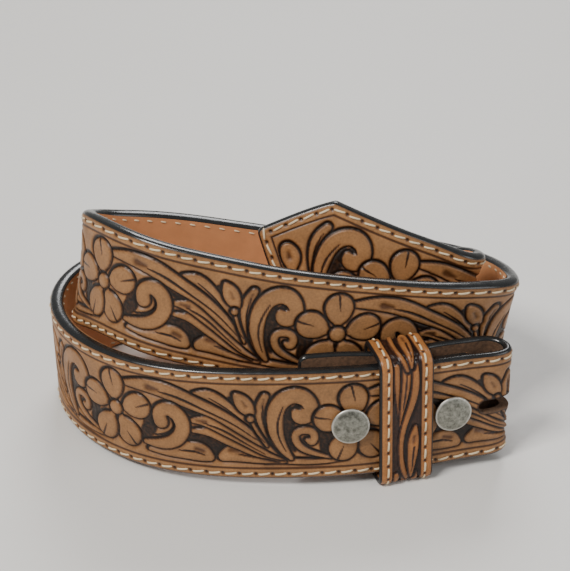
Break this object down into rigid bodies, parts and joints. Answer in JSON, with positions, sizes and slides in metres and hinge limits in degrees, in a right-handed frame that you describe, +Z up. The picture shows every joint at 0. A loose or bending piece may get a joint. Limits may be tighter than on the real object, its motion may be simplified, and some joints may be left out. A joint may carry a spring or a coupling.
{
  "type": "western leather belt strap",
  "caption": "Coiled western belt strap of carved tan leather with stitched edges, snap end, keeper and pointed tip.",
  "frame": {"origin": "middle of the coil's box, on the surface that it stands on", "axes": "+X to the right along the coil's long side, -Y out of its front, +Z up"},
  "size_m": [0.1522, 0.1002, 0.0798],
  "materials": {
    "carved_leather": "satin",
    "lining_leather": "satin",
    "keeper_leather": "satin",
    "antique_nickel": "brushed"
  },
  "bodies": {
    "root": {"strap": "carved_leather", "lining": "lining_leather", "keeper": "keeper_leather", "snap_cap_left": "antique_nickel", "snap_cap_right": "antique_nickel", "snap_socket_left": "antique_nickel", "snap_socket_right": "antique_nickel", "snap_stud_left": "antique_nickel", "snap_stud_right": "antique_nickel", "snap_rivet_left": "antique_nickel", "snap_rivet_right": "antique_nickel"}
  },
  "joints": []
}
